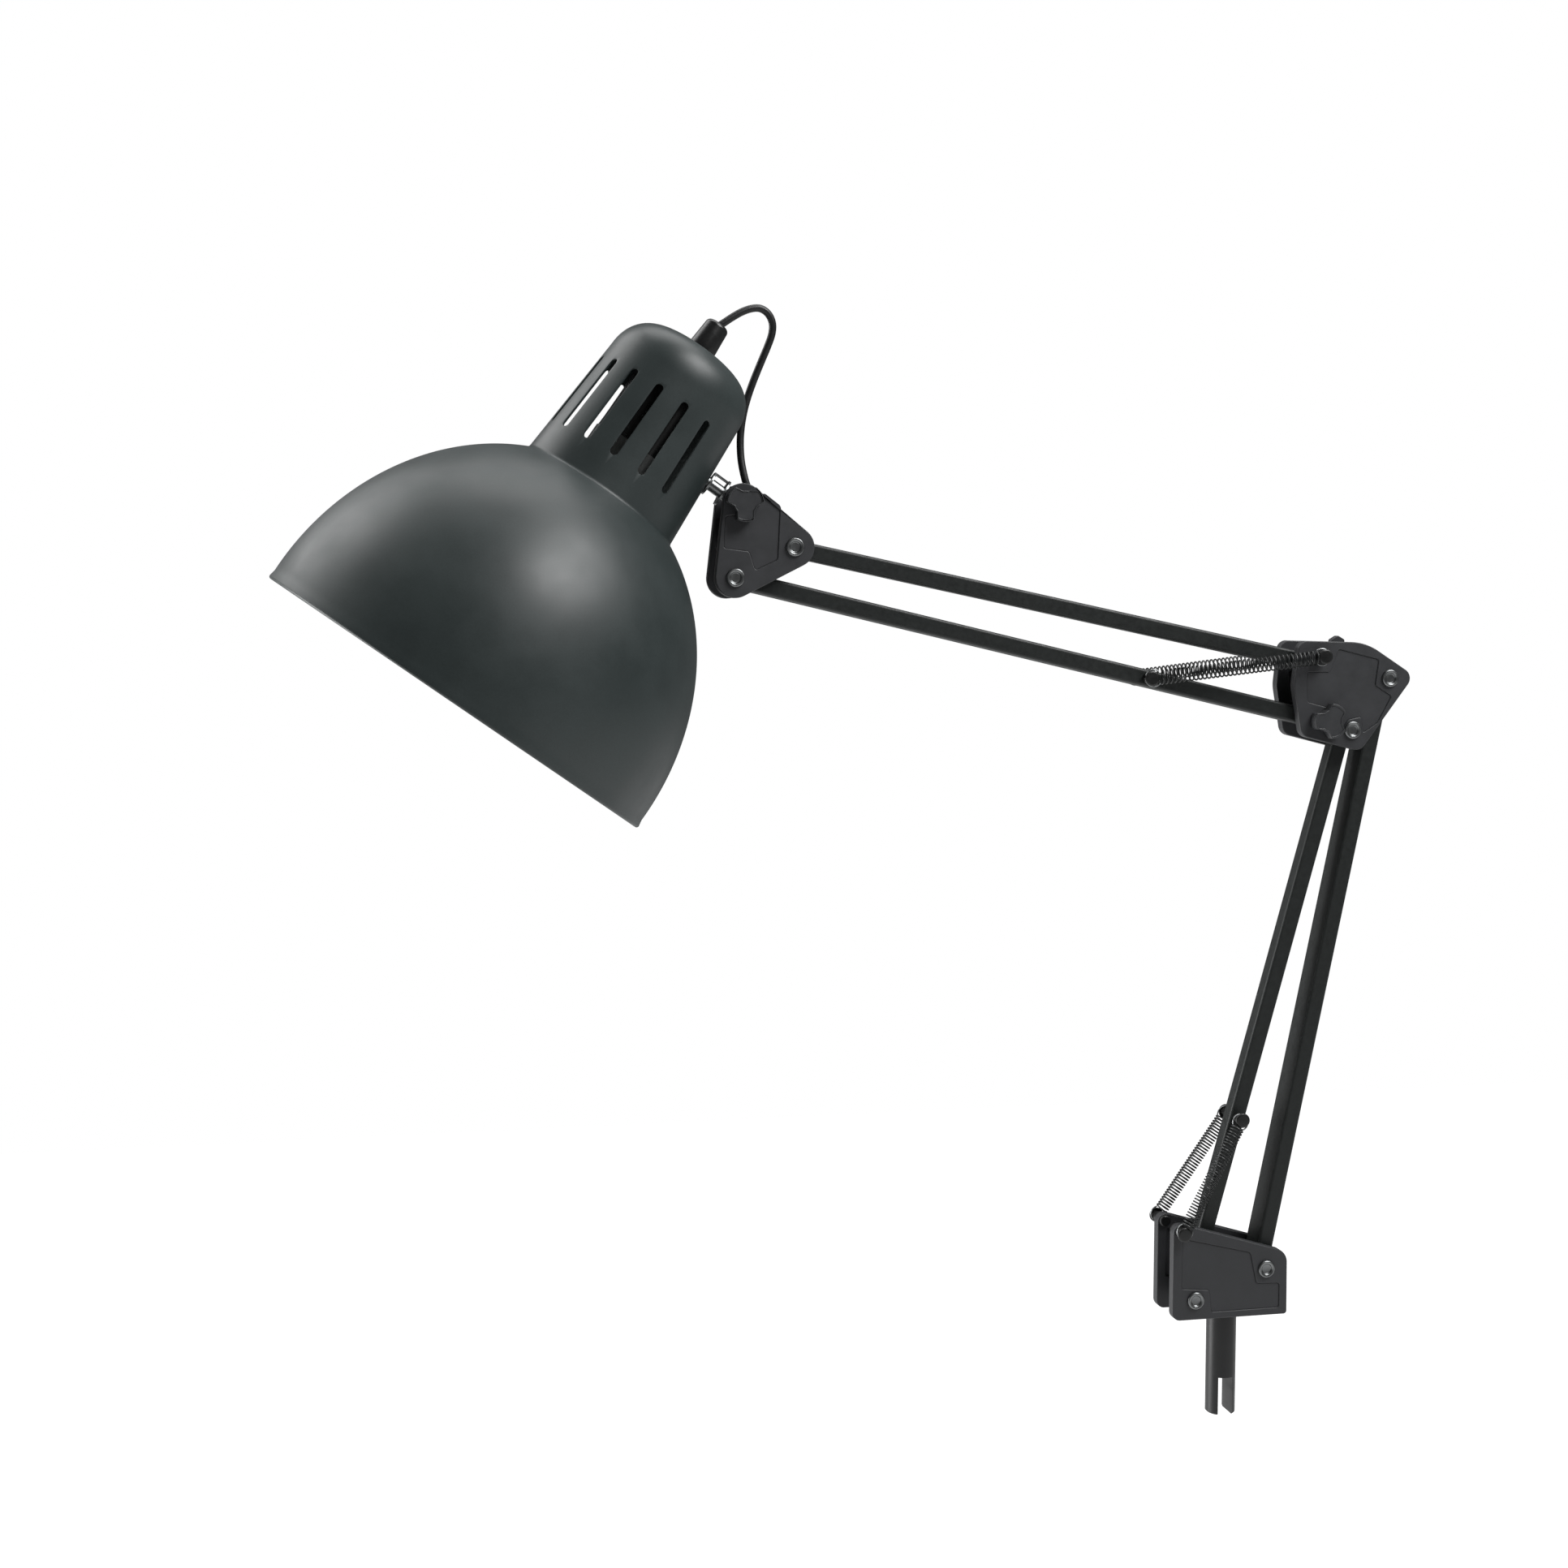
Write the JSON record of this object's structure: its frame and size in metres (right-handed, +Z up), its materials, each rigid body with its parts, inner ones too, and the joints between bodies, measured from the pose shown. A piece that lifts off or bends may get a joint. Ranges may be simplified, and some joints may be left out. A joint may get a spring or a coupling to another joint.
{
  "type": "architect desk lamp",
  "caption": "Spring-balanced parallel-arm desk lamp with plate brackets, a vented bell shade on a clamped swivel and a stem for a desk clamp or socket.",
  "frame": {"origin": "on the stem's axis, at its shoulder under the base bracket", "axes": "+Z up along the stem; the arm folds in the XZ plane and reaches towards -X; the knobs are on the -Y side"},
  "size_m": [0.4691, 0.1718, 0.465],
  "materials": {
    "bracket_plastic": "satin moulded, fine grain",
    "tube_paint": "satin black powder coat",
    "stem_paint": "satin dark coating",
    "bright_steel": "bright plated",
    "dark_plastic": "moulded, slightly glossy",
    "knob_plastic": "moulded",
    "shade_paint": "satin anthracite powder coat",
    "holder_plastic": "moulded",
    "holder_metal": "plated",
    "contact_brass": "plain",
    "spring_wire": "blackened wire",
    "cord_sheath": "smooth black sheath"
  },
  "bodies": {
    "base": {"stem": "stem_paint", "stem_socket": "dark_plastic", "stem_cross_pin": "bright_steel", "base_front_plate": "bracket_plastic", "base_rear_plate": "bracket_plastic", "base_front_rivet": "bright_steel", "base_rear_rivet": "bright_steel", "base_spring_posts": "dark_plastic", "base_washers": "dark_plastic", "lower_spring_front": "spring_wire", "lower_spring_rear": "spring_wire"},
    "lower_front_arm": {"lower_front_tube": "tube_paint", "lower_spring_pin": "dark_plastic"},
    "lower_rear_arm": {"lower_rear_tube": "tube_paint"},
    "elbow_bracket": {"elbow_front_plate": "bracket_plastic", "elbow_rear_plate": "bracket_plastic", "elbow_front_rivet": "bright_steel", "elbow_rear_rivet": "bright_steel", "elbow_spring_posts": "dark_plastic", "elbow_washers": "dark_plastic", "elbow_bolt": "bright_steel", "upper_spring_front": "spring_wire", "upper_spring_rear": "spring_wire"},
    "elbow_clamp_knob": {"elbow_knob": "knob_plastic"},
    "upper_top_arm": {"upper_top_tube": "tube_paint"},
    "upper_bottom_arm": {"upper_bottom_tube": "tube_paint", "upper_spring_pin": "dark_plastic"},
    "head_bracket": {"head_front_plate": "bracket_plastic", "head_rear_plate": "bracket_plastic", "head_front_rivet": "bright_steel", "head_rear_rivet": "bright_steel", "head_washers": "dark_plastic", "head_bolt": "bright_steel", "head_cord_clamp": "dark_plastic", "cord_lower": "cord_sheath"},
    "head_clamp_knob": {"head_knob": "knob_plastic"},
    "shade_swivel": {"swivel_tongue": "bright_steel", "swivel_clip": "bright_steel", "swivel_nut": "bright_steel"},
    "shade": {"shade_shell": "shade_paint", "lampholder_nipple": "bright_steel", "lampholder_nut": "bright_steel", "lampholder_cover": "holder_plastic", "lampholder_ring": "holder_metal", "lampholder_body": "holder_plastic", "screw_shell": "contact_brass", "centre_contact": "contact_brass", "cord_grip": "dark_plastic", "cord_upper": "cord_sheath"}
  },
  "joints": [
    {"name": "lower_arm_fold", "type": "hinge", "parent": "base", "child": "lower_front_arm", "pos_m": [-0.0165, 0, 0.0084], "axis": [0, -1, 0], "range_deg": [-4, 40], "deforming": ["lower_spring_front", "lower_spring_rear"]},
    {"name": "lower_rear_fold", "type": "hinge", "parent": "base", "child": "lower_rear_arm", "pos_m": [0.0152, 0, 0.0202], "axis": [0, -1, 0], "range_deg": [-3.8, 37.6]},
    {"name": "elbow_level", "type": "hinge", "parent": "lower_front_arm", "child": "elbow_bracket", "pos_m": [0.04989, 0, 0.24942], "axis": [0, -1, 0], "range_deg": [-60, 6.1]},
    {"name": "upper_arm_fold", "type": "hinge", "parent": "elbow_bracket", "child": "upper_bottom_arm", "pos_m": [0.03809, 0, 0.25342], "axis": [0, -1, 0], "range_deg": [-45, 12], "deforming": ["upper_spring_front", "upper_spring_rear"]},
    {"name": "upper_top_fold", "type": "hinge", "parent": "elbow_bracket", "child": "upper_top_arm", "pos_m": [0.06649, 0, 0.27112], "axis": [0, -1, 0], "range_deg": [-45.2, 12.2]},
    {"name": "head_level", "type": "hinge", "parent": "upper_bottom_arm", "child": "head_bracket", "pos_m": [-0.21417, 0, 0.31213], "axis": [0, -1, 0], "range_deg": [-14.7, 55]},
    {"name": "head_tilt", "type": "hinge", "parent": "head_bracket", "child": "shade_swivel", "pos_m": [-0.21087, 0, 0.34123], "axis": [0, -1, 0], "range_deg": [-45, 20], "deforming": ["cord_lower"]},
    {"name": "shade_turn", "type": "hinge", "parent": "shade_swivel", "child": "shade", "pos_m": [-0.21087, 0, 0.34123], "axis": [0.8192, 0, -0.5736], "range_deg": [-60, 60], "deforming": ["cord_upper"]},
    {"name": "elbow_knob_turn", "type": "hinge", "parent": "elbow_bracket", "child": "elbow_clamp_knob", "pos_m": [0.03809, 0, 0.25342], "axis": [0, -1, 0], "range_deg": [0, 360]},
    {"name": "head_knob_turn", "type": "hinge", "parent": "head_bracket", "child": "head_clamp_knob", "pos_m": [-0.21087, 0, 0.34123], "axis": [0, -1, 0], "range_deg": [0, 360]}
  ],
  "couplings": [
    {"joint": "lower_rear_fold", "follows": "lower_arm_fold", "ratio": 0.9365},
    {"joint": "elbow_level", "follows": "lower_arm_fold", "ratio": -1.495},
    {"joint": "upper_top_fold", "follows": "upper_arm_fold", "ratio": 1.0004},
    {"joint": "head_level", "follows": "upper_arm_fold", "ratio": -1.219}
  ]
}
